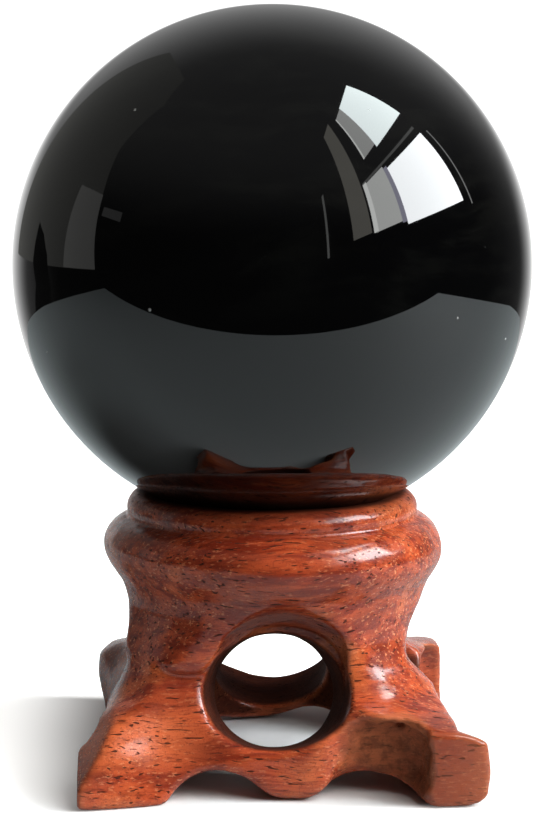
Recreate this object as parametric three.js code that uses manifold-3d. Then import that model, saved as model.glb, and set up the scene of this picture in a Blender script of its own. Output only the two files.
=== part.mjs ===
// A polished obsidian sphere resting in the cup of a carved hardwood stand.
// Millimetres, +Z up, origin on the floor under the middle of the sphere, front of the stand towards -Y.
// The stand is worked as the real one is: a square block is turned to beads, neck and cup at the top,
// sawn to a waisted profile both ways, then bored, arched and gouged alike on its four sides.
import * as THREE from "three";
import { mergeVertices } from "three/addons/utils/BufferGeometryUtils.js";
import Module from "manifold-3d";

const wasm = await Module();
wasm.setup();

// Sphere
const BALL_RADIUS = 30;
const BALL_AROUND = 48; // segments round the equator
const SEAT_GAP = 0.1; // clearance left between the sphere and the rim that it rests on

// Beads turned round the top: a small rim bead over a large one, each an arc of a circle
const RIM_BEAD = { ring: 15.3, z: 29.7, radius: 1.75 };
const BIG_BEAD = { ring: 16.2, z: 25.2, radius: 3.65 };
const CUP_FLOOR_Z = 26.6;

// Block, and its profile as half width and height, the same on all four sides
const BLOCK_HALF = 22.4;
const SAWN_PROFILE = [
  [22.4, 8.4], [21.6, 8.9], [19.6, 9.3], [17.6, 10.0], [16.3, 11.4], [15.6, 13.4],
  [15.5, 15.6], [15.9, 17.8], [16.8, 19.8], [18.4, 21.6], [21.5, 23.5],
];
// The turned neck seen on the diagonal, as radius and height from over the feet up to the large bead
const NECK_PROFILE = [
  [33, 8.4], [28, 9.0], [24, 10.2], [21.2, 12.2], [19.3, 14.8], [18.2, 17.4], [17.7, 19.6], [17.9, 21.2],
];

// Openings, each given for the front side. Across is measured along +X there, and depth from the middle
const WELL = [[11.6, 0], [11.4, 4], [10.6, 8], [8.9, 12], [5.8, 15.2], [2.6, 16.4]]; // radius and height
const BORE = { across: 0.5, depth: 16.8, halfWidth: 7.75, halfHeight: 6.35, tilt: 14, taper: 0.02 };
const LIP = { across: 1.2, depth: 21.4, z: 16.9, halfWidth: 6.7, halfDepth: 6.7, halfHeight: 6.7 };
const ARCHES = [
  { across: -6.4, crown: 3.6, radius: 6.4 },
  { across: 10.2, crown: 3.2, radius: 7.0 },
];
const ARCH_TILT = 9;
const GOUGE = { across: 11.3, depth: 23.3, z: 5.4, halfWidth: 5.2, halfDepth: 5.0, halfHeight: 4.4 };
const APRON = { across: -3.4, reach: 15.8 }; // shallow curve along the side, up to the right foot
const KNEE_EDGE = { depth: 18.4, z: 9.4 }; // from here the left foot slopes to the side's face

// What the carver's hand varied, for the front, right, back and left sides:
// height of the bore, depth and radius of the apron's curve, and where the foot's slope ends, along and up
const SIDES = [
  { boreZ: 11.6, apron: 19.7, curve: 60, kneeEnd: 7.2, kneeZ: 5.0 },
  { boreZ: 11.4, apron: 18.8, curve: 50, kneeEnd: 7.2, kneeZ: 7.0 },
  { boreZ: 9.9, apron: 19.2, curve: 50, kneeEnd: 7.2, kneeZ: 6.0 },
  { boreZ: 11.2, apron: 19.2, curve: 50, kneeEnd: 23, kneeZ: 6.2 },
];
// A facet pared off the outer edge of the front left foot, wide at the top and gone at the floor
const PARED = { point: [-21.9, -22.3, 0], normal: [-0.89, -0.32, 0.33], top: 14 };
// A hollow worked behind the end of the front right foot, on the right side
const HOLLOW = { across: -14, depth: 25.4, z: 8, halfWidth: 6.2, halfDepth: 6, halfHeight: 6.6 };

const TURNED_AROUND = 48;
const CUT_AROUND = 24;
const CUT_ALONG = 6; // steps along a tapered cutter
const OUTSIDE = 34; // how far out the cutters reach

const rad = THREE.MathUtils.degToRad;
const points = (pairs) => pairs.map(([a, b]) => new THREE.Vector2(a, b));

// A closed geometry as a solid. Triangles that collapse on a turning axis are left out.
function solid(geometry) {
  const bare = geometry.clone();
  bare.deleteAttribute("normal");
  bare.deleteAttribute("uv");
  const merged = mergeVertices(bare, 1e-4);
  const index = merged.index.array;
  const corners = [];
  for (let i = 0; i < index.length; i += 3) {
    const [a, b, c] = [index[i], index[i + 1], index[i + 2]];
    if (a !== b && b !== c && c !== a) corners.push(a, b, c);
  }
  const vertProperties = merged.attributes.position.array;
  return new wasm.Manifold(
    new wasm.Mesh({ numProp: 3, vertProperties, triVerts: new Uint32Array(corners) }),
  );
}

// A solid back as a geometry for a mesh.
function geometryOf(made) {
  const mesh = made.getMesh();
  const geometry = new THREE.BufferGeometry();
  geometry.setAttribute("position", new THREE.BufferAttribute(mesh.vertProperties, 3));
  geometry.setIndex(new THREE.BufferAttribute(mesh.triVerts, 1));
  geometry.computeVertexNormals();
  return geometry;
}

// Points of a bead's arc in a turning profile, with angles in degrees from the outward direction.
function beadArc({ ring, z, radius }, from, to, steps) {
  return Array.from({ length: steps + 1 }, (_, i) => {
    const angle = rad(from + ((to - from) * i) / steps);
    return new THREE.Vector2(ring + radius * Math.cos(angle), z + radius * Math.sin(angle));
  });
}

// Turns a profile of radius and height about Z.
function turned(profile, around) {
  return solid(new THREE.LatheGeometry(profile, around).rotateX(Math.PI / 2));
}

// An ellipsoid cutter on the front side.
function scoop({ across, depth, z, halfWidth, halfDepth, halfHeight }) {
  const geometry = new THREE.SphereGeometry(1, CUT_AROUND, CUT_AROUND / 2);
  return solid(geometry.scale(halfWidth, halfDepth, halfHeight).translate(across, -depth, z));
}

// An oval cutter on the front side, from outside to a given depth, its axis dipping inwards.
function drill({ across, depth, z, halfWidth, halfHeight, tilt, taper = 0 }, inner) {
  const steps = taper ? CUT_ALONG : 1;
  const geometry = new THREE.CylinderGeometry(1, 1, OUTSIDE - inner, CUT_AROUND, steps);
  geometry.scale(halfWidth, 1, halfHeight).translate(0, depth - (OUTSIDE + inner) / 2, 0);
  const at = geometry.attributes.position;
  for (let i = 0; i < at.count; i++) at.setX(i, at.getX(i) * (1 - taper * at.getY(i)));
  return solid(geometry.rotateX(-rad(tilt)).translate(across, -depth, z));
}

// A big block that takes away everything beyond a plane.
function beyondPlane(point, normal) {
  const side = 2 * OUTSIDE;
  const geometry = new THREE.BoxGeometry(side, side, side).translate(0, 0, side / 2);
  const turn = new THREE.Quaternion().setFromUnitVectors(
    new THREE.Vector3(0, 0, 1),
    new THREE.Vector3(...normal).normalize(),
  );
  return solid(geometry.applyQuaternion(turn).translate(...point));
}

function turnedBlank() {
  const neck = new THREE.SplineCurve(points(NECK_PROFILE));
  const cup = new THREE.QuadraticBezierCurve(
    new THREE.Vector2(13.8, 30.6),
    new THREE.Vector2(11, CUP_FLOOR_Z + 0.3),
    new THREE.Vector2(0, CUP_FLOOR_Z),
  );
  const profile = [
    ...points([[0, 0], [33, 0]]),
    ...neck.getPoints(9),
    ...beadArc(BIG_BEAD, -44, 74, 7),
    ...beadArc(RIM_BEAD, -32, 140, 7),
    ...cup.getPoints(4).slice(1),
  ];
  return turned(profile, TURNED_AROUND);
}

// The waisted profile, sawn right through the block along X, or along Y after a quarter turn.
function sawnBlank(quarter) {
  const half = new THREE.SplineCurve(points(SAWN_PROFILE));
  const right = [new THREE.Vector2(BLOCK_HALF, 0), ...half.getPoints(13), new THREE.Vector2(21.5, 33)];
  const left = right.map((p) => new THREE.Vector2(-p.x, p.y)).reverse();
  const outline = new THREE.Shape([...right, ...left]);
  const geometry = new THREE.ExtrudeGeometry(outline, { depth: 2 * OUTSIDE, bevelEnabled: false });
  geometry.translate(0, 0, -OUTSIDE).rotateX(Math.PI / 2);
  return solid(geometry.rotateZ(((1 + quarter) * Math.PI) / 2));
}

function well() {
  const top = WELL[WELL.length - 1][1];
  return turned(points([[0, -1], [WELL[0][0], -1], ...WELL, [0, top + 0.3]]), CUT_AROUND);
}

// The shallow curve worked along the front of a side, between its left corner and the right foot.
function apronCutter(depth, radius) {
  const { across, reach } = APRON;
  const barrel = new THREE.CylinderGeometry(radius, radius, 20, 180);
  barrel.rotateX(Math.PI / 2).translate(across, -depth - radius, 0);
  const width = OUTSIDE + reach;
  const keep = new THREE.BoxGeometry(width, OUTSIDE, 20).translate(reach - width / 2, -OUTSIDE, 0);
  return solid(barrel).intersect(solid(keep));
}

// The slope of a side's left foot down to the side's face.
function kneeCutter(end, kneeZ) {
  const { depth, z } = KNEE_EDGE;
  const slope = [0, -(z - kneeZ), BLOCK_HALF - depth];
  const keep = new THREE.BoxGeometry(2 * OUTSIDE, OUTSIDE, 24).translate(end - OUTSIDE, -OUTSIDE / 2, 0);
  return beyondPlane([0, -depth, z], slope).intersect(solid(keep));
}

// The pared facet stops under the beads.
function paredCutter() {
  const keep = new THREE.BoxGeometry(2 * OUTSIDE, 2 * OUTSIDE, 2 * PARED.top);
  return beyondPlane(PARED.point, PARED.normal).intersect(solid(keep));
}

// Everything cut from one side, given for the front.
function sideCutters({ boreZ, apron, curve, kneeEnd, kneeZ }) {
  const bore = drill({ ...BORE, z: boreZ }, 3);
  const arches = ARCHES.map(({ across, crown, radius }) =>
    drill({ across, depth: 20, z: crown - radius, halfWidth: radius, halfHeight: radius, tilt: ARCH_TILT }, 8),
  );
  return [bore, scoop(LIP), ...arches, scoop(GOUGE), apronCutter(apron, curve), kneeCutter(kneeEnd, kneeZ)];
}

function standSolid() {
  let stand = turnedBlank().intersect(sawnBlank(0)).intersect(sawnBlank(1)).subtract(well());
  SIDES.forEach((side, quarter) => {
    for (const cutter of sideCutters(side)) stand = stand.subtract(cutter.rotate([0, 0, 90 * quarter]));
  });
  return stand.subtract(paredCutter()).subtract(scoop(HOLLOW).rotate([0, 0, 90]));
}

// The sphere sits where it touches the top of the rim bead.
function ballHeight() {
  return RIM_BEAD.z + Math.sqrt((BALL_RADIUS + RIM_BEAD.radius + SEAT_GAP) ** 2 - RIM_BEAD.ring ** 2);
}

const wood = new THREE.MeshStandardMaterial({ color: 0x8f3a20, roughness: 0.38, metalness: 0 });
const obsidian = new THREE.MeshStandardMaterial({ color: 0x060607, roughness: 0.03, metalness: 0 });

const stand = new THREE.Mesh(geometryOf(standSolid()), wood);
stand.name = "carved_stand";

const ballGeometry = new THREE.SphereGeometry(BALL_RADIUS, BALL_AROUND, BALL_AROUND / 2).rotateX(Math.PI / 2);
const ball = new THREE.Mesh(ballGeometry, obsidian);
ball.name = "obsidian_sphere";
ball.position.z = ballHeight();

const group = new THREE.Group();
group.add(stand, ball);
export default group;
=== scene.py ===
# %% [markdown]
# # An obsidian sphere on its carved stand
# The photographed object is two things: a mirror-polished ball of black volcanic glass, and the little
# hardwood stand that it rests on. This lesson gives both their looks around a frame that is already built:
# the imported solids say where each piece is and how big, and nothing here moves or resizes them.

import math

import bpy
import numpy as np
from mathutils import Matrix, Vector


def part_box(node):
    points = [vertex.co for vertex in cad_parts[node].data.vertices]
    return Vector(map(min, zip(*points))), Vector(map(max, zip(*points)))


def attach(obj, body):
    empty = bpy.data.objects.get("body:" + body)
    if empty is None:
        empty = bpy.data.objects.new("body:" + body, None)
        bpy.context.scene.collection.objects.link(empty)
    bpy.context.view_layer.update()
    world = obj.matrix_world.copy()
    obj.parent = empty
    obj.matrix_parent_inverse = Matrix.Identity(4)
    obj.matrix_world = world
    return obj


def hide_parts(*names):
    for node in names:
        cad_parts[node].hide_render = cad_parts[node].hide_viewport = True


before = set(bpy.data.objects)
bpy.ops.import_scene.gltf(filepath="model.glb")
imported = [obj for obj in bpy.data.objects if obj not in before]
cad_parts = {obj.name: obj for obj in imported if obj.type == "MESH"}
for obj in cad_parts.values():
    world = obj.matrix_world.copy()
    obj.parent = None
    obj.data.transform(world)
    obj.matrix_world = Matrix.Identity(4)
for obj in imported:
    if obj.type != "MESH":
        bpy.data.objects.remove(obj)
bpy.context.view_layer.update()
MM = 0.001
stand_low, stand_high = [np.array(c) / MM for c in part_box("carved_stand")]
ball_low, ball_high = [np.array(c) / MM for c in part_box("obsidian_sphere")]

# %% [markdown]
# ## The camera
# The photo was taken from very near with a phone: 216 mm from the middle of the ball, a little above it.
# A close camera makes the front feet look bigger than the back ones, so its distance matters as much as
# its direction. The place is worked out from the distance, the height and two small turns.

# %% Camera
PHOTO_SIZE = (533, 816)  # pixels, width and height
FOCAL_PIXELS = 1851.0  # focal length in pixels of that picture
CAMERA_BACK = 216.0  # mm from the middle of the stand, along the floor
CAMERA_HEIGHT = 66.3
CAMERA_PITCH = math.radians(6.65)  # looking down
CAMERA_ROUND = math.radians(-2.1)  # round to the stand's left
CAMERA_YAW = math.radians(-0.17)
SENSOR = 36.0


def place_camera():
    data = bpy.data.cameras.new("camera")
    data.sensor_width = SENSOR
    data.lens = FOCAL_PIXELS / max(PHOTO_SIZE) * SENSOR
    data.clip_start = 0.01
    camera = bpy.data.objects.new("camera", data)
    bpy.context.collection.objects.link(camera)
    around = Matrix.Rotation(CAMERA_ROUND, 4, "Z")
    stand_off = Matrix.Translation(Vector((0, -CAMERA_BACK, CAMERA_HEIGHT)) * MM)
    aim = Matrix.Rotation(-CAMERA_YAW, 4, "Z") @ Matrix.Rotation(math.pi / 2 - CAMERA_PITCH, 4, "X")
    camera.matrix_world = around @ stand_off @ aim
    bpy.context.scene.camera = camera
    return camera


camera = place_camera()
print("camera at mm:", [round(v / MM, 1) for v in camera.matrix_world.translation])

# %% [markdown]
# ## Shader maths as plain expressions
# A material is a graph of nodes. Written out node by node it is hard to read, so a small class wraps one
# output socket and lets Python's own operators add the Math nodes: `1 - mask * 0.3` is then three nodes.
# Everything else, such as a noise or a colour mix, comes from one method that takes the node's type, its
# settings and what goes into its sockets.


# %% A socket that understands arithmetic
class Socket:
    def __init__(self, tree, socket):
        self.tree = tree
        self.socket = socket

    def node(self, kind, settings=None, out=0, **inputs):
        return add_node(self.tree, kind, settings, out, **inputs)

    def math(self, operation, *values):
        settings = {"operation": operation}
        numbered = {f"in{i}": value for i, value in enumerate((self, *values))}
        return self.node("ShaderNodeMath", settings, **numbered)

    def __add__(self, other):
        return self.math("ADD", other)

    def __sub__(self, other):
        return self.math("SUBTRACT", other)

    def __rsub__(self, other):
        return self.math("MULTIPLY_ADD", -1.0, other)

    def __mul__(self, other):
        return self.math("MULTIPLY", other)

    __radd__ = __add__
    __rmul__ = __mul__

    def step(self, low, high, to_low=0.0, to_high=1.0):
        settings = {"interpolation_type": "SMOOTHSTEP"}
        ends = {"in1": low, "in2": high, "in3": to_low, "in4": to_high}
        return self.node("ShaderNodeMapRange", settings, in0=self, **ends)

    def scaled(self, x, y, z):
        return self.node("ShaderNodeVectorMath", {"operation": "MULTIPLY"}, in0=self, in1=(x, y, z))

    def moved(self, other):
        return self.node("ShaderNodeVectorMath", {"operation": "ADD"}, in0=self, in1=other)

    def mixed(self, other, factor):
        settings = {"data_type": "RGBA", "clamp_factor": True}
        return self.node("ShaderNodeMix", settings, out=2, in0=factor, in6=self, in7=other)


def add_node(tree, kind, settings=None, out=0, **inputs):
    node = tree.nodes.new(kind)
    for name, value in (settings or {}).items():
        setattr(node, name, value)
    for name, value in inputs.items():
        key = int(name[2:]) if name[:2] == "in" and name[2:].isdigit() else name.replace("_", " ")
        plug(tree, node.inputs[key], value)
    return Socket(tree, node.outputs[out])


def plug(tree, socket, value):
    if isinstance(value, Socket):
        tree.links.new(value.socket, socket)
    elif hasattr(socket.default_value, "__len__") and len(socket.default_value) == 4:
        socket.default_value = (*value[:3], 1.0)
    else:
        socket.default_value = value


def noise(place, scale, detail=2.0, roughness=0.5, distortion=0.0):
    return place.node(
        "ShaderNodeTexNoise", Vector=place,
        Scale=scale, Detail=detail, Roughness=roughness, Distortion=distortion,
    )


def parts_of(place):
    """The X, Y and Z of a place."""
    return [place.node("ShaderNodeSeparateXYZ", out=n, in0=place) for n in range(3)]


def plain_colour(tree, colour):
    node = add_node(tree, "ShaderNodeRGB")
    node.socket.default_value = (*colour, 1)
    return node


def new_material(name):
    material = bpy.data.materials.new(name)
    material.use_nodes = True
    tree = material.node_tree
    shader = tree.nodes["Principled BSDF"]
    millimetres = add_node(tree, "ShaderNodeTexCoord", out=3).scaled(1 / MM, 1 / MM, 1 / MM)
    return material, tree, shader, millimetres


def finish_with(tree, shader, **inputs):
    for name, value in inputs.items():
        plug(tree, shader.inputs[name.replace("_", " ")], value)


print("shader helpers ready")

# %% [markdown]
# ## The stand's shape
# The real stand began as a square block. It was turned on a lathe at the top, sawn to a waist from two
# sides, bored, and then worked with gouges and sandpaper until every edge was round. Booleans on meshes
# would leave hard, thin edges to repair, so the shape is written as a distance field instead: a function
# that says how far each point of space is from the surface, negative inside the wood. In such a field a
# cut is a maximum, and a soft maximum leaves the rounded edge that sanding leaves.


# %% Soft joins and cuts
def soft_union(a, b, radius):
    share = np.clip(0.5 + 0.5 * (b - a) / radius, 0, 1)
    return b + (a - b) * share - radius * share * (1 - share)


def soft_both(a, b, radius):
    return -soft_union(-a, -b, radius)


def ease(distance, length):
    """0 before the start, 1 past the length, and smooth between."""
    share = np.clip(distance / length, 0, 1)
    return share * share * (3 - 2 * share)


def soft_cut(body, cutter, radius):
    return soft_both(body, -cutter, radius)


def smooth_profile(pairs, steps=12):
    """A fine table of width against height, smooth through the given pairs."""
    widths, heights = np.array(pairs, float).T
    slopes = np.gradient(widths, heights)
    fine = np.linspace(heights[0], heights[-1], steps * len(pairs))
    end = np.clip(np.searchsorted(heights, fine), 1, len(heights) - 1)
    gap = heights[end] - heights[end - 1]
    t = (fine - heights[end - 1]) / gap
    level = widths[end - 1] + (widths[end] - widths[end - 1]) * t * t * (3 - 2 * t)
    lean = gap * t * (1 - t) * (slopes[end - 1] * (1 - t) - slopes[end] * t)
    return level + lean, fine


def beyond_profile(distance, z, curve):
    """Distance outside a profile that gives a half width for each height."""
    widths, heights = curve
    width = np.interp(z, heights, widths)
    slope = np.interp(z, heights, np.gradient(widths, heights))
    return (distance - width) / np.sqrt(1 + slope**2)


print("soft cut of 1 into -1:", round(float(soft_cut(np.float64(-1), np.float64(1), 0.5)), 3))

# %% [markdown]
# ## Turned and sawn
# Two beads are rings of a round section, the neck is a curve of radius against height, and a waisted
# profile is sawn both ways. The numbers start from the ones that the solids were made with, and add what
# the hand left: a neck that leans by up to 0.7 mm, and feet of which no two are quite alike.

# %% The blank
FRONT, RIGHT, BACK, LEFT = range(4)  # the sides, each a quarter turn from the last
# each bead's ring, the drum of solid wood inside it, and how softly the ring meets the drum and the body
BIG_BEAD = {"ring": 16.2, "z": 25.2, "radius": 3.65, "drum": 16.0, "top": 28.9, "fillet": 0.3, "join": 0.8}
RIM_BEAD = {"ring": 15.3, "z": 29.7, "radius": 1.75, "drum": 15.2, "top": 31.45, "fillet": 0.2, "join": 0.6}
DRUM_EDGE = 0.3  # mm, how round the top edge of each drum is
CUP = {"floor": 26.6, "rim_radius": 13.8, "rim_z": 30.6, "edge": 14.2, "rounded": 0.3}
CUP_SLOPE = 0.85  # turns a height over the bowl into about the distance from it
WAIST = [(16.1, 13.2), (16.0, 15.6), (16.5, 17.8), (17.3, 19.8), (18.6, 21.6), (21.5, 23.3), (33, 26.5)]
LEFT_WAIST = [(16.2, 13.2), (16.6, 15.6), (17.0, 17.8), (17.5, 19.8), *WAIST[4:]]
SQUARE_FOOT = smooth_profile([(22.8, 8.2), (22.0, 9.0), (19.8, 9.6), (17.9, 10.4), (16.8, 11.5), *WAIST])
NECK = smooth_profile(
    [
        (33, 8.0), (27, 8.8), (23, 10.0), (20.4, 12.0), (18.9, 14.8), (18.2, 17.4),
        (18.0, 19.6), (18.2, 21.2), (18.6, 22.4), (18.8, 24),
    ]
)
LEAN = smooth_profile([(0.1, 7), (-0.3, 10.5), (-0.7, 13), (-0.55, 17), (0.2, 20), (0.3, 23), (0, 26)])
CORNER = smooth_profile([(0.5, 7), (1.8, 9.5), (3.2, 13), (2.4, 20)])  # how round the block's corners are
SLOPES = [  # the left foot of the front, right, back and left sides runs down in a slope instead
    [(22.9, 2.4), (22.1, 4.6), (20.9, 6.4), (19.2, 8.4), (17.8, 10.0), (16.8, 11.6)],
    [
        (21.3, 0), (22.45, 0.8), (23.0, 2.2), (23.05, 5.4), (22.8, 6.8), (21.9, 7.8), (20.4, 8.35),
        (19.6, 8.7), (19.3, 9.2), (18.9, 9.9), (17.9, 11.1), (17.0, 12.2),
    ],
    [(22.4, 7.2), (21.9, 8.3), (21.0, 9.2), (19.7, 9.9), (18.0, 10.7), (16.8, 12.0)],
    [(22.2, 5.2), (21.9, 6.7), (20.1, 8.2), (18.8, 9.2), (17.8, 10.4), (16.9, 11.8)],
]
WAISTS = [WAIST, WAIST, WAIST, LEFT_WAIST]
SLOPED_FEET = [smooth_profile(slope + waist) for slope, waist in zip(SLOPES, WAISTS)]
SLOPE_END = [5, 5, 5, 30]  # across a side, where the slope starts to give way to the square foot
SLOPE_BLEND = 5  # and how long that takes
SET_BACK = [0, 0.5, 0, 0]  # mm, how far each side's square foot stays short of the block's face
SAWN_EDGE = 1.0  # mm, how round the saw cuts meet the turned body


def bead(r, z, shape):
    """A ring of a round section, filled to the middle."""
    ring = np.hypot(r - shape["ring"], z - shape["z"]) - shape["radius"]
    drum = soft_both(r - shape["drum"], z - shape["top"], DRUM_EDGE)
    return soft_union(ring, drum, shape["fillet"])


def side_view(x, y, quarter):
    """How far across a side and how far out of it a place is, for the front, right, back and left."""
    return {FRONT: (x, -y), RIGHT: (y, x), BACK: (-x, y), LEFT: (-y, -x)}[quarter]


def sawn_side(x, y, z, quarter):
    across, out = side_view(x, y, quarter)
    share = ease(across - SLOPE_END[quarter], SLOPE_BLEND)
    sloped = beyond_profile(out, z, SLOPED_FEET[quarter])
    square = beyond_profile(out + SET_BACK[quarter], z, SQUARE_FOOT)
    return sloped + (square - sloped) * share


def blank(x, y, z):
    x = x - np.interp(z, LEAN[1], LEAN[0])
    r = np.hypot(x, y)
    body = np.maximum(beyond_profile(r, z, NECK), z - BIG_BEAD["z"])
    for shape in (BIG_BEAD, RIM_BEAD):
        body = soft_union(body, bead(r, z, shape), shape["join"])
    bowl = CUP["floor"] + (CUP["rim_z"] - CUP["floor"]) * (r / CUP["rim_radius"]) ** 2
    cup = np.maximum((bowl - z) * CUP_SLOPE, r - CUP["edge"])
    body = soft_cut(body, cup, CUP["rounded"])
    front, right, back, left = [sawn_side(x, y, z, quarter) for quarter in range(4)]
    corner = np.interp(z, CORNER[1], CORNER[0])
    sawn = soft_both(np.maximum(front, back), np.maximum(left, right), corner)
    return soft_both(body, sawn, SAWN_EDGE)


print("half width of the waist:", round(float(SQUARE_FOOT[0].min()), 2), "mm")

# %% [markdown]
# ## Bored, arched and gouged
# Each side got the same cuts, a quarter turn apart: a round hole that runs down to the hollow inside, a
# worked hollow over the hole, two low arches below, a deep gouge beside the square right foot and a slope
# down the left one. So they are written once, in a side's own directions: across, out of the side, and up.
# Slow hollows thin each side's lower face, and a tighter one leaves the left foot's round knee standing.
# Last come the cuts that only one foot has, most of them plain slices of a knife.

# %% One side's cuts
WELL = smooth_profile([(11.6, 0), (11.4, 4), (10.6, 8), (8.9, 12), (5.8, 15.2), (2.6, 16.4), (-6, 17.4)])
BORE = {"across": -0.05, "out": 16.8, "half_width": 8.3, "half_height": 6.4, "tilt": 14, "taper": 0.02}
BORE_Z = (11.6, 11.4, 9.9, 11.2)  # on the front, right, back and left sides
BORE_END = 3.0  # how near the middle each bore runs
FLARE = {"across": 0.7, "up": 0.9, "half_width": 7.0, "half_height": 5.5, "out": 13.0, "spread": 0.62}
FLARE_SLOPE = 0.75  # turns a height over the flare into about the distance from it
LIP = {"across": 1.0, "out": 20.3, "z": 15.8, "size": (9.8, 5.0, 5.9)}  # the worked hollow over the hole
ARCHES = [(-6.6, 3.4, 6.4), (10.0, 2.9, 7.4)]  # across, crown, radius
ARCH_OUT, ARCH_TILT = 20, 9
GOUGE = {"across": 11.3, "out": 22.9, "z": 4.9, "size": (5.1, 4.9, 4.5), "square": 3.2}
GOUGE_ROUGH = [1, 0.25, 1, 1]  # the one on the right side was sanded and varnished
PIT = {"across": 13.5, "out": 19.2, "z": 8.2, "size": (0.7, 1.4, 0.5)}  # where the tool dug in over it
# a slow hollow along each side, whose face leans back as it rises
APRON = {"middle": -3.4, "out": 19.2, "curve": 50, "start": -40, "end": 15.8, "lean": 0.12, "top": 10}
APRONS = [
    {**APRON, "middle": -2.4, "out": 19.5, "curve": 60},
    {**APRON, "out": 19.3, "start": -17, "lean": 0.31},
    APRON,
    APRON,
]
# a tighter one beside the left foot, which leaves the foot's round knee
SWEEP = {"middle": -9.4, "out": 19.1, "curve": 12, "start": -40, "end": 1.5, "lean": 0.5, "top": 13}
SWEPT = (FRONT, BACK, LEFT)
LEAN_FROM = 5  # mm up, where a leaning face has its stated place
# plain slices: off the front left foot's outer face, and off the back left foot from below
PARED = {"point": (-17.5, -17.5, 10), "normal": (-0.74, -0.28, 0.61), "top": 14}
CHAMFER = {"point": (-21.5, 20, 2.6), "normal": (-0.75, 0.1, -0.66), "front": 12}
# the top of the front right foot falls towards the back, behind which the body stands out as a round lump
FOOT_TOP = {"point": (21.7, -22.5, 7.9), "normal": (0.3, 0.29, 0.91), "inside": 19.5, "back": -8}
HOLLOW = {"across": -13.8, "out": 26.2, "z": 6.4, "size": (6.6, 6.4, 7.4)}  # on the right, behind that foot
ROUNDED = {  # mm, how far sanding rounded the edge of each cut
    "lip": 0.6, "arch": 1.2, "apron": 0.8, "apron_ends": 0.3, "apron_top": 0.6, "sweep": 1.8,
    "gouge": 0.5, "gouge_inside": 2.5, "pit": 0.4, "flare": 0.3, "bore": 0.4, "bore_rubbed": 0.8,
    "bore_end": 0.3, "well": 0.5, "pared": 0.4, "chamfer": 0.8, "foot_top": 0.5, "hollow": 0.5,
    "sole": 0.7, "sole_middle": 1.3,
}


def tilted(out, z, tilt):
    """The height over an axis that rises outwards, and the way along it."""
    angle = math.radians(tilt)
    return z * math.cos(angle) - out * math.sin(angle), out * math.cos(angle) + z * math.sin(angle)


def bore(across, out, z, bore_z):
    high, along = tilted(out - BORE["out"], z - bore_z, BORE["tilt"])
    wide = BORE["half_width"] * (1 + BORE["taper"] * along)
    oval = np.hypot((across - BORE["across"]) / wide, high / BORE["half_height"])
    return soft_both((oval - 1) * BORE["half_height"], BORE_END - out, ROUNDED["bore_end"])


def flare(across, out, z, bore_z):
    """The mouth of the front bore, opened with a wider tool along its top."""
    up = z - bore_z
    wider = FLARE["spread"] * np.maximum(out - FLARE["out"], 0) * ease(up - 1, 5)
    oval = np.hypot(
        (across - FLARE["across"]) / (FLARE["half_width"] + wider),
        (up - FLARE["up"]) / (FLARE["half_height"] + wider),
    )
    return np.maximum((oval - 1) * FLARE["half_height"], FLARE["out"] - out) * FLARE_SLOPE


def egg(across, out, z, shape):
    size = shape["size"]
    offset = (across - shape["across"], out - shape["out"], z - shape["z"])
    power = shape.get("square", 2)  # more than 2 makes it boxier
    total = sum(np.abs(way / half) ** power for way, half in zip(offset, size))
    return (total ** (1 / power) - 1) * min(size)


def arch(across, out, z, centre, crown, radius):
    high, _ = tilted(out - ARCH_OUT, z - (crown - radius), ARCH_TILT)
    return np.hypot(across - centre, high) - radius


def apron(across, out, z, shape):
    upright = out + shape["lean"] * (z - LEAN_FROM)
    hollow = np.hypot(across - shape["middle"], upright - shape["out"] - shape["curve"]) - shape["curve"]
    ends = np.maximum(across - shape["end"], shape["start"] - across)
    hollow = soft_both(hollow, ends, ROUNDED["apron_ends"])
    return soft_both(hollow, z - shape["top"], ROUNDED["apron_top"])


def cut_side(body, across, out, z, quarter):
    body = soft_cut(body, egg(across, out, z, LIP), ROUNDED["lip"])
    for centre, crown, radius in ARCHES:
        body = soft_cut(body, arch(across, out, z, centre, crown, radius), ROUNDED["arch"])
    body = soft_cut(body, apron(across, out, z, APRONS[quarter]), ROUNDED["apron"])
    if quarter in SWEPT:
        body = soft_cut(body, apron(across, out, z, SWEEP), ROUNDED["sweep"])
    inside = ease(12 - across, 6)  # the gouge runs out softly towards the middle
    body = soft_cut(body, egg(across, out, z, GOUGE), ROUNDED["gouge"] + ROUNDED["gouge_inside"] * inside)
    body = soft_cut(body, egg(across, out, z, PIT), ROUNDED["pit"])
    if quarter == FRONT:
        body = soft_cut(body, flare(across, out, z, BORE_Z[quarter]), ROUNDED["flare"])
    rubbed = ease(-across - 0.8 * (z - 11), 8)  # the rim is rubbed down most at its lower left
    hole = bore(across, out, z, BORE_Z[quarter])
    return soft_cut(body, hole, ROUNDED["bore"] + ROUNDED["bore_rubbed"] * rubbed)


def beyond_plane(points, plane):
    return (points - np.array(plane["point"])) @ np.array(plane["normal"])


def well(x, y, z):
    return beyond_profile(np.hypot(x, y), z, WELL)


def cut_feet(body, points):
    """The cuts that only one foot has."""
    x, y, z = points.T
    pared = np.maximum(-beyond_plane(points, PARED), z - PARED["top"])
    body = soft_cut(body, pared, ROUNDED["pared"])
    chamfer = np.maximum(-beyond_plane(points, CHAMFER), CHAMFER["front"] - y)
    body = soft_cut(body, chamfer, ROUNDED["chamfer"])
    within = np.maximum(FOOT_TOP["inside"] - x, y - FOOT_TOP["back"])
    foot_top = np.maximum(-beyond_plane(points, FOOT_TOP), within)
    body = soft_cut(body, foot_top, ROUNDED["foot_top"])
    across, out = side_view(x, y, RIGHT)
    return soft_cut(body, egg(across, out, z, HOLLOW), ROUNDED["hollow"])


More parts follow.
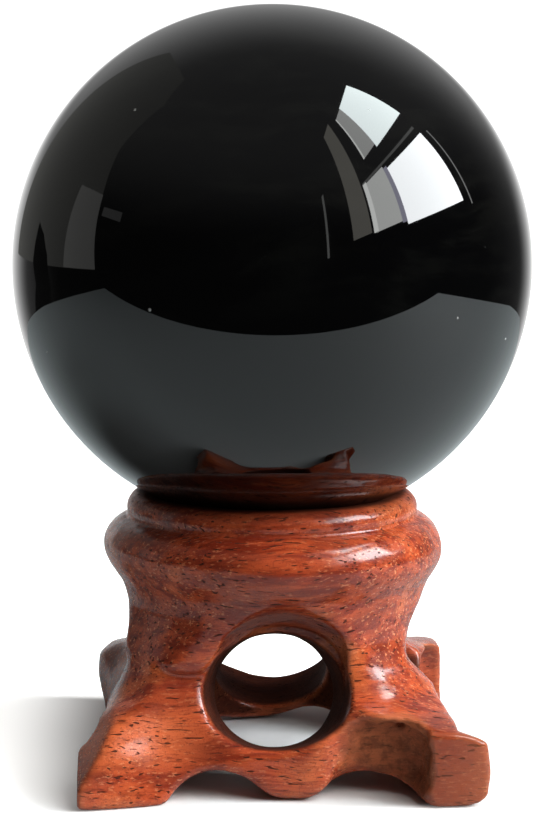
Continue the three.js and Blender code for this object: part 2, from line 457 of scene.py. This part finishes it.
def stand_field(points):
    x, y, z = points.T
    body = soft_cut(blank(x, y, z), well(x, y, z), ROUNDED["well"])
    for quarter in (FRONT, RIGHT, BACK, LEFT):
        across, out = side_view(x, y, quarter)
        body = cut_side(body, across, out, z, quarter)
    body = cut_feet(body, points)
    middle = ease(8 - np.minimum(np.abs(x), np.abs(y)), 3)  # rubbed rounder below than the corners are
    return soft_both(body, -z, ROUNDED["sole"] + ROUNDED["sole_middle"] * middle)


print("field at the middle of the neck:", round(float(stand_field(np.array([[0.0, 0.0, 24.0]]))[0]), 2))

# %% [markdown]
# ## From the field to a mesh
# Surface nets turn a field into quads: space is divided into small cells, each cell that the surface runs
# through gets one vertex, and neighbouring ones are joined. The net is only roughly on the surface, so each
# vertex then slides down the field's own slope until the field says zero, which makes the net true.

# %% Surface net
CELL = 0.36  # mm
CELL_CORNERS = [(i, j, k) for i in (0, 1) for j in (0, 1) for k in (0, 1)]


def grid_axes(low, high):
    return [np.arange(a - 2.3 * CELL, b + 3 * CELL, CELL) for a, b in zip(low, high)]


def sample(field, axes):
    xs, ys, zs = axes
    values = np.empty((len(xs), len(ys), len(zs)))
    plane_x, plane_y = np.meshgrid(xs, ys, indexing="ij")
    for k, z in enumerate(zs):
        points = np.stack([plane_x.ravel(), plane_y.ravel(), np.full(plane_x.size, z)], 1)
        values[:, :, k] = field(points).reshape(plane_x.shape)
    return values


def crossed_cells(inside):
    """The cells whose eight corners are neither all inside nor all outside."""
    size = np.array(inside.shape) - 1
    count = 0
    for corner in CELL_CORNERS:
        count = count + inside[tuple(slice(c, c + n) for c, n in zip(corner, size))].astype(np.int8)
    return np.argwhere((count > 0) & (count < 8))


def mean_crossings(values, cells):
    """The mean of the places where the surface crosses a cell's edges, in cells from its low corner."""
    at_corner = {c: values[tuple((cells + c).T)] for c in CELL_CORNERS}
    total = np.zeros((len(cells), 3))
    hits = np.zeros(len(cells))
    for a in CELL_CORNERS:
        for axis in range(3):
            if a[axis]:
                continue
            b = tuple(v + (n == axis) for n, v in enumerate(a))
            va, vb = at_corner[a], at_corner[b]
            crossed = (va < 0) != (vb < 0)
            share = np.where(crossed, va / np.where(crossed, va - vb, 1), 0)
            place = np.array(a, float) + share[:, None] * (np.array(b) - np.array(a))
            total += place * crossed[:, None]
            hits += crossed
    return total / hits[:, None]


def quads_across(inside, number, axis):
    """A quad round each grid edge along one axis that enters or leaves the wood."""
    step_one, step_two = [np.eye(3, dtype=int)[n] for n in range(3) if n != axis]
    edge = [slice(1, -1)] * 3
    edge[axis] = slice(0, -1)
    changed = inside != np.roll(inside, -1, axis)
    where = np.argwhere(changed[tuple(edge)]) + [s.start for s in edge]
    ring_of_cells = [where - step_one - step_two, where - step_two, where, where - step_one]
    quads = np.stack([number[tuple(c.T)] for c in ring_of_cells], 1)
    leaving = inside[tuple(where.T)]
    turned = leaving if axis != 1 else ~leaving
    return np.where(turned[:, None], quads, quads[:, ::-1])


def net(values, axes):
    inside = values < 0
    cells = crossed_cells(inside)
    number = np.full(np.array(values.shape) - 1, -1)
    number[tuple(cells.T)] = np.arange(len(cells))
    start = np.array([axis[0] for axis in axes])
    vertices = start + (cells + mean_crossings(values, cells)) * CELL
    return vertices, np.concatenate([quads_across(inside, number, axis) for axis in range(3)])


def slope_of(field, points, reach=0.02):
    steps = np.eye(3) * reach
    return np.stack([(field(points + s) - field(points - s)) / (2 * reach) for s in steps], 1)


def settle(field, points, rounds=4):
    for _ in range(rounds):
        slope = slope_of(field, points)
        move = field(points)[:, None] * slope / np.maximum((slope**2).sum(1), 0.05)[:, None]
        points = points - np.clip(move, -0.5 * CELL, 0.5 * CELL)
    return points


axes = grid_axes(stand_low, stand_high)
stand_points, stand_quads = net(sample(stand_field, axes), axes)
stand_points = settle(stand_field, stand_points)
print("stand net:", len(stand_points), "vertices,", 2 * len(stand_quads), "triangles")

# %% [markdown]
# ## Marks of the hand
# Sandpaper over hand-cut wood leaves soft waves a few millimetres long, and the gouged recess was never
# sanded at all, so it stays rough. Both are real relief, so they move the mesh. The waves come from a small
# block of random numbers, blended smoothly and seeded so that each run makes the same stand.

# %% Hand-worked relief
LATTICE = 32  # numbers along each edge of the block
WAVES = [(0.09, 3.1, 1), (0.035, 1.3, 2)]  # height and length in mm, and the seed
GOUGE_MARKS = [(0.25, 1.2, 3), (0.12, 0.6, 5)]
ALONG_GRAIN = (0.5, 1, 1)  # the waves are twice as long that way
GOUGE_REACH = 0.5  # mm from the gouge's own surface, where its marks end
SOLE_FLAT = 1.5  # mm up, from where the relief has its full height


def lattice_noise(points, scale, seed):
    table = np.random.default_rng(seed).uniform(-1, 1, (LATTICE, LATTICE, LATTICE))
    place = points / scale
    base = np.floor(place).astype(int)
    share = place - base
    share = share * share * (3 - 2 * share)
    total = 0
    for corner in np.ndindex(2, 2, 2):
        weight = np.prod([s if c else 1 - s for c, s in zip(corner, share.T)], axis=0)
        total = total + weight * table[tuple(((base + corner) % LATTICE).T)]
    return total


def relief(points, waves):
    return sum(height * lattice_noise(points, length, seed) for height, length, seed in waves)


def gouge_roughness(points):
    rough = np.zeros(len(points))
    for quarter, share in enumerate(GOUGE_ROUGH):
        across, out = side_view(points[:, 0], points[:, 1], quarter)
        near = np.clip(1 - np.abs(egg(across, out, points[:, 2], GOUGE)) / GOUGE_REACH, 0, 1)
        rough = np.maximum(rough, near * share)
    return rough


def worked(points):
    slope = slope_of(stand_field, points)
    normal = slope / np.linalg.norm(slope, axis=1, keepdims=True)
    rough = gouge_roughness(points)
    waves = relief(points * ALONG_GRAIN, WAVES) + rough * relief(points, GOUGE_MARKS)
    height = np.clip(points[:, 2] / SOLE_FLAT, 0, 1)
    return points + normal * (waves * height)[:, None], normal, rough


stand_surface, stand_normals, recess = worked(stand_points)
print("relief moved the wood by up to", round(float(np.abs(stand_surface - stand_points).max()), 2), "mm")

# %% [markdown]
# ## Where wood is worn and where shade is painted
# Varnish gathers in the hollows, which are also painted darker as shade, and hands rub the edges light. The
# field tells which is which: a step out of an open surface ends as far from it as the step was long, and out
# of a hollow it ends nearer. Three more things are known here too: what the gouge left rough, where shade
# is painted deep in a bore, in the front bore's mouth and just under the ball, and how squarely the surface
# cuts the fibres. All five are stored on the mesh for the material.

# %% Mesh with worn edges and painted shade in the hollows
HOLLOW_REACH = 2.0  # mm, the step out of the surface
EDGE_REACH = 0.8  # and the step into it


def hollowness(points, normals):
    return np.clip(1 - stand_field(points + normals * HOLLOW_REACH) / HOLLOW_REACH, 0, 1)


def sharpness(points, normals):
    return np.clip(1 + stand_field(points - normals * EDGE_REACH) / EDGE_REACH, 0, 1)


def mesh_object(name, vertices_mm, faces):
    mesh = bpy.data.meshes.new(name)
    mesh.from_pydata((vertices_mm * MM).tolist(), [], faces.tolist())
    mesh.shade_smooth()
    obj = bpy.data.objects.new(name, mesh)
    bpy.context.collection.objects.link(obj)
    return obj


def store(obj, name, values):
    attribute = obj.data.attributes.new(name, "FLOAT", "POINT")
    attribute.data.foreach_set("value", np.asarray(values, np.float32))


def near_cut(distance, reach):
    """1 on the wall of a cut, and 0 from the reach on."""
    return 1 - ease(distance - 0.02, reach)


def painted_bore_shade(points):
    """Painted shade: 1 in the bores and well, half in the flared mouth of the front bore, and 0 on the open
    faces.
    """
    x, y, z = points.T
    inside = -blank(x, y, z)
    dark = near_cut(well(x, y, z), 0.3)
    for quarter in (FRONT, RIGHT, BACK, LEFT):
        across, out = side_view(x, y, quarter)
        wall = near_cut(bore(across, out, z, BORE_Z[quarter]), 0.25)
        dark = np.maximum(dark, wall * ease(inside - 0.3, 1.2))
    mouth = near_cut(flare(*side_view(x, y, FRONT), z, BORE_Z[FRONT]), 0.3)
    return np.maximum(dark, 0.5 * mouth * ease(inside - 0.1, 0.6))


def shaded_seat(points):
    """Painted shade under the ball: 1 where the wood nearly touches it, and 0 from about 3 mm off."""
    gap = np.linalg.norm(points - ball_centre, axis=1) - ball_radius
    return 1 - 0.6 * ease(gap - 0.3, 0.7) - 0.4 * ease(gap - 1, 2)


ball_radius = (ball_high[2] - ball_low[2]) / 2
ball_centre = (ball_high + ball_low) / 2
stand = mesh_object("carved_hardwood_stand", stand_surface, stand_quads)
store(stand, "hollow", hollowness(stand_points, stand_normals))
store(stand, "worn", sharpness(stand_points, stand_normals))
store(stand, "recess", recess)
# painted shade in the bores, the well, the front bore's mouth and under the ball
store(stand, "deep", np.maximum(painted_bore_shade(stand_points), shaded_seat(stand_points)))
store(stand, "end_grain", np.abs(stand_normals[:, 0]))
print("stand object:", len(stand.data.polygons), "faces")

# %% [markdown]
# ## The ball
# A sphere is the one shape that can be made exactly. What matters is that its reflections stay true, so the
# mesh is fine and even: a cube's six faces, divided into squares and pushed out to the radius. Hand lapping
# leaves such a stone a few hundredths of a millimetre out of round, which bends long reflections a little.

# %% Lapped sphere
BALL_SQUARES = 88  # squares along each edge of the cube
OUT_OF_ROUND = 0.012  # mm


def cube_ball(squares):
    ticks = np.tan(np.linspace(-math.pi / 4, math.pi / 4, squares + 1))
    u, v = [a.ravel() for a in np.meshgrid(ticks, ticks, indexing="ij")]
    index = np.arange((squares + 1) ** 2).reshape(squares + 1, -1)
    square = np.stack([index[:-1, :-1], index[1:, :-1], index[1:, 1:], index[:-1, 1:]], -1).reshape(-1, 4)
    points, faces = [], []
    for axis in range(3):
        for side in (1, -1):
            place = np.insert(np.stack([u, v * side], 1), axis, side, axis=1)
            faces.append((square if axis != 1 else square[:, ::-1]) + len(points) * len(u))
            points.append(place / np.linalg.norm(place, axis=1, keepdims=True))
    return np.concatenate(points), np.concatenate(faces)


def weld(points, faces):
    keys = np.round(points, 7)
    _, first, joined = np.unique(keys, axis=0, return_index=True, return_inverse=True)
    return points[first], joined.ravel()[faces]


directions, ball_faces = weld(*cube_ball(BALL_SQUARES))
lapped = ball_radius - OUT_OF_ROUND * (1 + lattice_noise(directions * 10, 6.0, seed=4))
ball = mesh_object("polished_obsidian_ball", ball_centre + directions * lapped[:, None], ball_faces)
print("ball:", round(2 * float(ball_radius), 2), "mm across,", 2 * len(ball_faces), "triangles")

# %% [markdown]
# ## Varnished red hardwood
# The wood's fibres run from left to right. On the front they show as long streaks, and on the ends of the
# block the same fibres are cut across and show as dots. One solid pattern gives both: noise that is
# stretched along X. Over it come darker and paler patches, gold flecks that are painted brighter as glints
# on the end grain, fine grit and long open pores, a painted shade on the front right foot and a painted
# light on the front left knee. Then come the stored marks: painted shade in the hollows, rubbed edges, bare
# wood in the gouge, and painted shade in the bores and just under the ball.
# The finish is a thin satin varnish, a clear coat that the pores, the gouge and the bores didn't take.

# %% Hardwood
WOOD = {
    "red": (0.46, 0.072, 0.022),
    "streak": (0.23, 0.026, 0.01),
    "pale": (0.68, 0.155, 0.045),
    "dark": (0.12, 0.019, 0.011),
    # the next two are painted: shade on the front right foot, light on the front left knee
    "painted foot shade": (0.2, 0.026, 0.008),
    "painted knee light": (0.74, 0.165, 0.05),
    # gold flecks of the grain, also used as a painted glint on the end grain
    "fleck_and_glint": (0.82, 0.29, 0.12),
    "fibre": (0.12, 0.018, 0.009),
    "grit": (0.11, 0.018, 0.01),
    "pore": (0.025, 0.008, 0.005),
    # painted shade for the hollows
    "painted hollow shade": (0.03, 0.009, 0.006),
    "bare": (0.24, 0.082, 0.04),
    "bare dark": (0.07, 0.024, 0.015),
    "rubbed": (0.6, 0.18, 0.075),
    # painted shade, for the bores, the well and under the ball
    "stain": (0.03, 0.009, 0.005),
}
MARKS = ("hollow", "worn", "recess", "deep", "end_grain")
GRAIN_DEPTH = 0.12 * MM


def stored(tree, name):
    return add_node(tree, "ShaderNodeAttribute", {"attribute_name": name}, out=2)


def wavy_place(place, scale, amount):
    drift = noise(place, scale, 2.0).scaled(*amount)
    return place.moved(drift)


def grain(place):
    """The patterns that the whole block shares, in millimetres, with its fibres along X."""
    wavy = wavy_place(place, 0.07, (0.0, 2.0, 2.5))
    return {
        "streak": noise(wavy.scaled(0.07, 1.0, 1.0), 0.9, 5.0, 0.62),
        "fibre": noise(wavy.scaled(0.09, 1.0, 1.0), 4.2, 3.0, 0.6),
        "patch": noise(place.scaled(0.6, 1.0, 1.0), 0.11, 3.0, 0.6, 0.4),
        "fleck_and_glint": noise(wavy.scaled(0.3, 1.0, 1.0), 3.4, 2.0, 0.55),
        "grit": noise(place, 4.5, 2.0, 0.6),
        "pores": noise(wavy.scaled(0.16, 1.0, 1.0), 3.4, 1.0, 0.4).step(0.64, 0.7),
        "blotch": noise(place, 0.9, 3.0, 0.65),
    }


def paint_foot_shade_and_knee_light(colour, place):
    """A painted shade on the front right foot's face, and a painted light on the front left knee."""
    x, y, z = parts_of(place)
    # painted shade on the front right foot, and painted light on the front left knee
    painted_foot_shade = x.step(13, 17) * y.step(-18, -21)  # the front right foot
    painted_knee_light = x.step(-5, -13) * y.step(-12, -18) * z.step(11, 8) * z.step(3, 6)  # the front left knee
    return colour.mixed(WOOD["painted foot shade"], painted_foot_shade * 0.85).mixed(WOOD["painted knee light"], painted_knee_light * 0.5)


def grown_colour_and_painted_light(tree, place, wood, end_grain):
    colour = plain_colour(tree, WOOD["red"])
    colour = colour.mixed(WOOD["streak"], wood["streak"].step(0.42, 0.62))
    colour = colour.mixed(WOOD["pale"], wood["patch"].step(0.5, 0.66) * 0.7)
    colour = colour.mixed(WOOD["dark"], wood["patch"].step(0.5, 0.34) * 0.5)
    colour = paint_foot_shade_and_knee_light(colour, place)
    # real flecks everywhere, made brighter on end-grain faces as a painted glint
    colour = colour.mixed(WOOD["fleck_and_glint"], wood["fleck_and_glint"].step(0.57, 0.69) * (0.15 + end_grain * 0.7))
    colour = colour.mixed(WOOD["fibre"], wood["fibre"].step(0.52, 0.68) * 0.5)
    colour = colour.mixed(WOOD["grit"], wood["grit"].step(0.54, 0.7) * 0.45)
    return colour.mixed(WOOD["pore"], wood["pores"] * 0.85)


def worn_colour_and_painted_shade(colour, blotch, hollow, recess, worn, deep):
    # painted shade in the hollows and creases
    colour = colour.mixed(WOOD["painted hollow shade"], hollow.step(0.25, 0.95) * 0.55)
    colour = colour.mixed(WOOD["bare"], recess * 0.7)
    colour = colour.mixed(WOOD["bare dark"], recess * blotch.step(0.42, 0.66) * 0.5)
    colour = colour.mixed(WOOD["rubbed"], worn.step(0.35, 0.9) * 0.4)
    # painted shade in the bores, the front bore's mouth and under the ball
    return colour.mixed(WOOD["stain"], deep * 0.9)


def hardwood():
    material, tree, shader, place = new_material("varnished_red_hardwood")
    hollow, worn, recess, deep, end_grain = [stored(tree, name) for name in MARKS]
    wood = grain(place)
    colour = grown_colour_and_painted_light(tree, place, wood, end_grain)
    colour = worn_colour_and_painted_shade(colour, wood["blotch"], hollow, recess, worn, deep)
    height = wood["fibre"] * 0.5 + wood["streak"] * 0.4 - wood["pores"] * 1.6
    height = height + wood["fleck_and_glint"] * 0.5 + wood["grit"] * (0.5 + end_grain * 0.7)
    bump = add_node(tree, "ShaderNodeBump", Strength=0.55, Distance=GRAIN_DEPTH, Height=height)
    gloss = 0.21 + wood["pores"] * 0.3 + recess * 0.3 + (wood["fleck_and_glint"] - 0.5) * 0.4
    gloss = gloss + deep * 0.6 + hollow * 0.2
    aslant = add_node(tree, "ShaderNodeLayerWeight", out=1, Blend=0.5)
    varnish = (1 - deep) * (1 - recess) * (1 - wood["pores"])
    varnish = varnish * (1 - aslant.step(0.5, 0.85) * 0.75) * 0.95
    finish_with(
        tree, shader, Base_Color=colour, Roughness=gloss, IOR=1.16, Normal=bump,
        Coat_Weight=varnish, Coat_Roughness=0.17, Coat_IOR=1.42,
    )
    return material


stand.data.materials.append(hardwood())
print("hardwood:", len(stand.data.materials[0].node_tree.nodes), "nodes")

# %% [markdown]
# ## Polished obsidian
# Obsidian is glass, so it needs no metal and no clear coat: its own polished surface gives every reflection,
# faint where you look straight at it and strong at the rim. Under the polish it is almost black, with a
# trace of smoky flow bands from when it was lava. A few pinprick pits and hair scratches keep it real.

# %% Obsidian
GLASS = {"black": (0.0006, 0.0006, 0.0007), "smoke": (0.0022, 0.0022, 0.002), "pit": (0.25, 0.25, 0.24)}


def obsidian():
    material, tree, shader, place = new_material("polished_obsidian")
    wavy = wavy_place(place, 0.04, (6.0, 6.0, 14.0))
    bands = noise(wavy.scaled(0.25, 0.3, 1.0), 0.35, 4.0, 0.6)
    specks = add_node(tree, "ShaderNodeTexVoronoi", Vector=place, Scale=0.16, Randomness=1.0)
    speck = specks.step(0.035, 0.02)
    scratch = noise(place.scaled(0.12, 1.4, 0.9), 1.6, 2.0, 0.4).step(0.7, 0.76)
    colour = plain_colour(tree, GLASS["black"]).mixed(GLASS["smoke"], bands.step(0.45, 0.7))
    colour = colour.mixed(GLASS["pit"], speck)
    gloss = 0.018 + bands * 0.01 + scratch * 0.02 + speck * 0.3
    finish_with(tree, shader, Base_Color=colour, Roughness=gloss, IOR=1.49)
    return material


ball.data.materials.append(obsidian())
print("obsidian:", len(ball.data.materials[0].node_tree.nodes), "nodes")

# %% [markdown]
# ## Joining the looks to the frame
# Each piece rides on the model's one body and stands for the plain solid of the same thing, which is hidden.

# %% Ride and replace
for piece, node, slot in (
    (stand, "carved_stand", "reddish_hardwood"),
    (ball, "obsidian_sphere", "obsidian"),
):
    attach(piece, "root")
    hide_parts(node)
    print(piece.name, "stands for", node)

# %% [markdown]
# ## Table, window and room
# A black mirror ball shows its whole surroundings, so these matter more than for any other object. The pale
# table ends a hand's width in front of the ball, which draws the curved edge low in the reflection. Beyond
# it the room is dark. Two sheets make this table: a wide one that only the camera sees, which glows with
# painted light everywhere but in a painted soft shade round the stand, and just under it the real, greyer
# one of the right outline, which the ball reflects and which takes its shadow.

# %% Table
SHEET = [(-510, -128), (400, -140), (312, 201), (237, 283), (-200, 240), (-300, 150)]  # mm, round the ball
SHEET_DROP = -0.05  # mm, so that the two tables don't lie in one plane
SHEET_TINT = (0.49, 0.53, 0.54)
FLOOR_HALF = 1200.0
FLOOR_TINT = (0.84, 0.84, 0.84)
FLOOR_GLOW = (0.9, 0.89, 0.87)
SHADE = {"aside": (17.2, 35.5), "in_front": (20.5, 25.5)}  # mm out, where the glow starts and is full


def square(half):
    return [(-half, -half), (half, -half), (half, half), (-half, half)]


def flat(name, outline, z=0.0):
    corners = np.array([(x, y, z) for x, y in outline], float)
    return mesh_object(name, corners, np.array([range(len(corners))]))


def pale(obj, tint):
    """A pale matt finish, a little uneven."""
    material, tree, shader, place = new_material(obj.name)
    tone = plain_colour(tree, tint).mixed((0.8, 0.8, 0.8), noise(place, 0.02, 3.0) * 0.1)
    finish_with(tree, shader, Base_Color=tone, Roughness=0.6)
    obj.data.materials.append(material)
    return tree, shader, place


def glow_past_the_shade(tree, shader, place, glow):
    """Paint light onto a table as a glow, except in a painted soft shade round the stand, the way a studio
    lamp would light it.
    """
    x, y, _ = parts_of(place)
    aside = x.math("ABSOLUTE").step(*SHADE["aside"])
    in_front = y.math("ABSOLUTE").step(*SHADE["in_front"])
    light = plain_colour(tree, (0, 0, 0)).mixed(glow, aside.math("MAXIMUM", in_front))
    finish_with(tree, shader, Emission_Color=light, Emission_Strength=1.0)


def table():
    """The table that the camera sees, and just under it the smaller one that the ball reflects."""
    floor = flat("floor", square(FLOOR_HALF))
    glow_past_the_shade(*pale(floor, FLOOR_TINT), FLOOR_GLOW)
    floor.visible_glossy = False
    floor.visible_diffuse = False
    floor.visible_shadow = False
    sheet = flat("reflected_sheet", SHEET, SHEET_DROP)
    pale(sheet, SHEET_TINT)
    sheet.visible_camera = False


table()

# %% [markdown]
# A window of two panes stands to the right, and the wall to the left is grey. Glowing cards stand in for
# them, far off, where the camera itself doesn't see them. They light the stand as well as the ball. One
# more card is a soft fill light that the ball doesn't mirror, for the faces that the window doesn't reach.

# %% Window and walls
WINDOW_AT = 800.0  # mm to the right of the ball
SKY = (0.95, 0.98, 1.0)
GREY = (0.9, 0.92, 0.9)
PANES = [  # each part of the view: along the wall and up, in units of that distance, colour and strength
    {"y": (-0.60, 0.065), "z": (0.345, 0.90), "colour": SKY, "strength": 21},
    {"y": (-0.66, -0.60), "z": (0.37, 0.93), "colour": (0.8, 0.8, 1.0), "strength": 4.5},
    {"y": (-1.02, -0.66), "z": (0.385, 0.96), "colour": GREY, "strength": 7.5},
    {"y": (-1.10, -1.02), "z": (0.385, 0.98), "colour": GREY, "strength": 11},
    {"y": (-0.555, 0.09), "z": (1.19, 2.42), "colour": (0.9, 1.0, 1.0), "strength": 17},
    {"y": (-0.84, -0.555), "z": (1.24, 2.4), "colour": GREY, "strength": 5},
    {"y": (-0.87, -0.84), "z": (1.24, 2.4), "colour": GREY, "strength": 10},
    {"y": (0.15, 0.165), "z": (0.31, 0.87), "colour": GREY, "strength": 2.5},
    {"y": (-1.10, 0.05), "z": (0.97, 1.0), "colour": GREY, "strength": 1.2},
    {"y": (-1.56, -1.14), "z": (0.4, 2.7), "colour": (1.0, 0.97, 0.87), "strength": 1.3},
    {"y": (-2.60, -2.48), "z": (0.27, 1.65), "colour": GREY, "strength": 1.4},
]


def card(name, x, outline, colour, strength):
    """A glowing card across the X direction, seen only in reflections and by its light."""
    corners = np.array([(x, y, z) for y, z in outline], float)
    obj = mesh_object(name, corners, np.array([range(len(corners))]))
    material = bpy.data.materials.new(name)
    material.use_nodes = True
    tree = material.node_tree
    tree.nodes.remove(tree.nodes["Principled BSDF"])
    glow = add_node(tree, "ShaderNodeEmission", Color=colour, Strength=strength)
    tree.links.new(glow.socket, tree.nodes["Material Output"].inputs["Surface"])
    obj.data.materials.append(material)
    obj.visible_camera = False
    return obj


def window():
    middle = ball_centre[2]
    for number, pane in enumerate(PANES):
        (y0, y1), (z0, z1) = [[WINDOW_AT * end for end in pane[way]] for way in ("y", "z")]
        outline = [(y0, middle + z0), (y1, middle + z0), (y1, middle + z1), (y0, middle + z1)]
        card(f"window_pane_{number}", WINDOW_AT, outline, pane["colour"], pane["strength"])


LEFT_CARDS = [  # what the ball reflects on its left, as outlines across and up in mm, x mm away
    {
        "name": "left_wall", "x": -900, "colour": (1.0, 1.0, 0.95), "strength": 0.23,
        "outline": [(-130, 50), (-60, 470), (24, 750), (70, 1400), (400, 2000), (1500, 2000), (1500, 50)],
    },
    {
        "name": "lit_wall", "x": -890, "colour": (1.0, 1.0, 0.97), "strength": 0.55,
        "outline": [(-130, 52), (-70, 440), (180, 440), (180, 52)],
    },
    {
        "name": "shelf", "x": -890, "colour": (1.0, 1.0, 1.0), "strength": 0.3,
        "outline": [(-300, 330), (-300, 390), (-120, 380), (-120, 330)],
    },
    {
        "name": "dim_shape", "x": -600, "colour": (1.0, 1.0, 1.0), "strength": 0.02,
        "outline": [
            (409, 162), (321, 133), (262, 82), (229, -12), (277, -86),
            (416, -103), (498, -88), (409, -3), (448, 55),
        ],
    },
]
FILL_AT = {"far": 600.0, "half": 140.0, "round": -50, "up": 50, "over_floor": 20}  # mm and degrees
FILL_LIGHT = {"colour": (1.0, 0.98, 0.95), "strength": 5.0}


def fill_light():
    """A soft light from the front right and above, which only the matt colours feel."""
    fill = card("fill_light", FILL_AT["far"], square(FILL_AT["half"]), **FILL_LIGHT)
    turn = Matrix.Rotation(math.radians(FILL_AT["round"]), 4, "Z")
    rise = Matrix.Rotation(math.radians(-FILL_AT["up"]), 4, "Y")
    fill.matrix_world = Matrix.Translation((0, 0, FILL_AT["over_floor"] * MM)) @ turn @ rise
    fill.visible_glossy = False


window()
for left in LEFT_CARDS:
    card(**left)
fill_light()
print("window of", len(PANES), "parts, and", len(LEFT_CARDS), "cards on the left")

# %% [markdown]
# The room itself is the world behind everything: white where the camera looks straight at it, as the paper
# backdrop of a product photo, and dim for reflections and bounced light, a little brighter behind the ball.

# %% Room
BACKDROP = 1.2  # strength, a little over white
BOUNCED_LOSS = 0.7  # how much of the room's light the matt colours don't get


def dim_room(tree):
    """How bright each direction of the room is: a ceiling, a pale wall behind, and light low on it."""
    direction = add_node(tree, "ShaderNodeTexCoord", out=0)
    right, behind, up = parts_of(direction)
    ceiling = up.step(0.2, 0.85, 0.02, 0.17)
    back_wall = behind.step(0.25, 0.9) * up.step(0.0, 0.4, 0.15, 0.42) * right.step(0.4, 0.8, 1.0, 0.4)
    return ceiling + back_wall + behind.step(0.7, 0.98) * up.step(0.3, 0.05)


def room():
    world = bpy.data.worlds.new("room")
    bpy.context.scene.world = world
    world.use_nodes = True
    tree = world.node_tree
    seen, bounced = [add_node(tree, "ShaderNodeLightPath", out=n) for n in (0, 2)]
    dim = dim_room(tree) * (1 - bounced * BOUNCED_LOSS)
    strength = dim + seen * (BACKDROP - dim)
    background = tree.nodes["Background"]
    background.inputs["Color"].default_value = (1, 1, 1, 1)
    tree.links.new(strength.socket, background.inputs["Strength"])


room()
bpy.context.scene.view_settings.view_transform = "Standard"
print("room lit")
